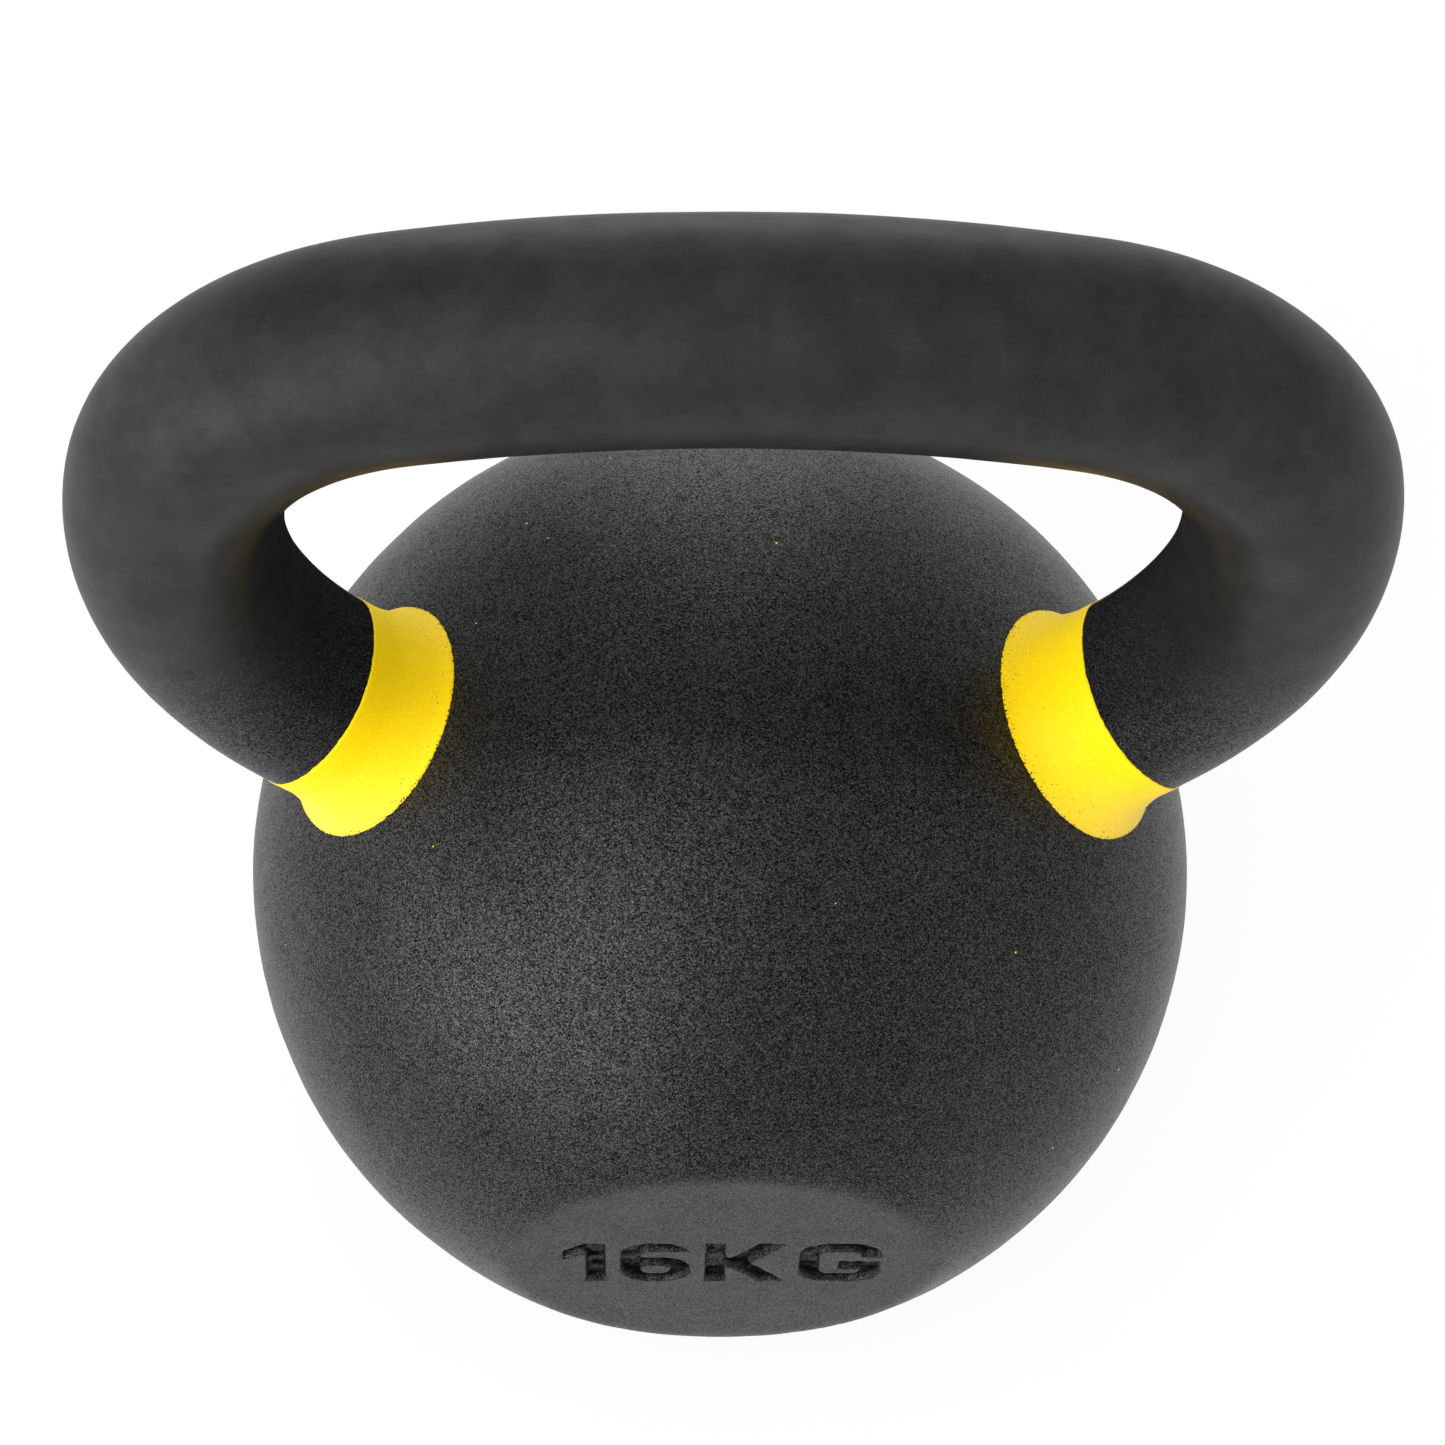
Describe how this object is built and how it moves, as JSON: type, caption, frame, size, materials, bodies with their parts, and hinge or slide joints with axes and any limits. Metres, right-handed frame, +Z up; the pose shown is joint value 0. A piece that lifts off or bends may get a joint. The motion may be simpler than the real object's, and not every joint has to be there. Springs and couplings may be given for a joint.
{
  "type": "kettlebell",
  "caption": "Solid iron ball with a flat foot and a marked front facet, under a bent bar handle with painted necks, for lifting and swinging by hand.",
  "frame": {"origin": "centre of the flat foot that the ball stands on", "axes": "+Z up towards the handle, X along the handle, -Y out of the front facet with the weight mark"},
  "size_m": [0.1928, 0.1489, 0.2373],
  "materials": {
    "black_coat": "black powder coat with a fine grain",
    "yellow_paint": "thin satin paint over the coat's grain"
  },
  "bodies": {
    "root": {"ball": "black_coat", "handle": "black_coat", "left_weld_fillet": "black_coat", "right_weld_fillet": "black_coat", "left_colour_band": "yellow_paint", "right_colour_band": "yellow_paint"}
  },
  "joints": []
}
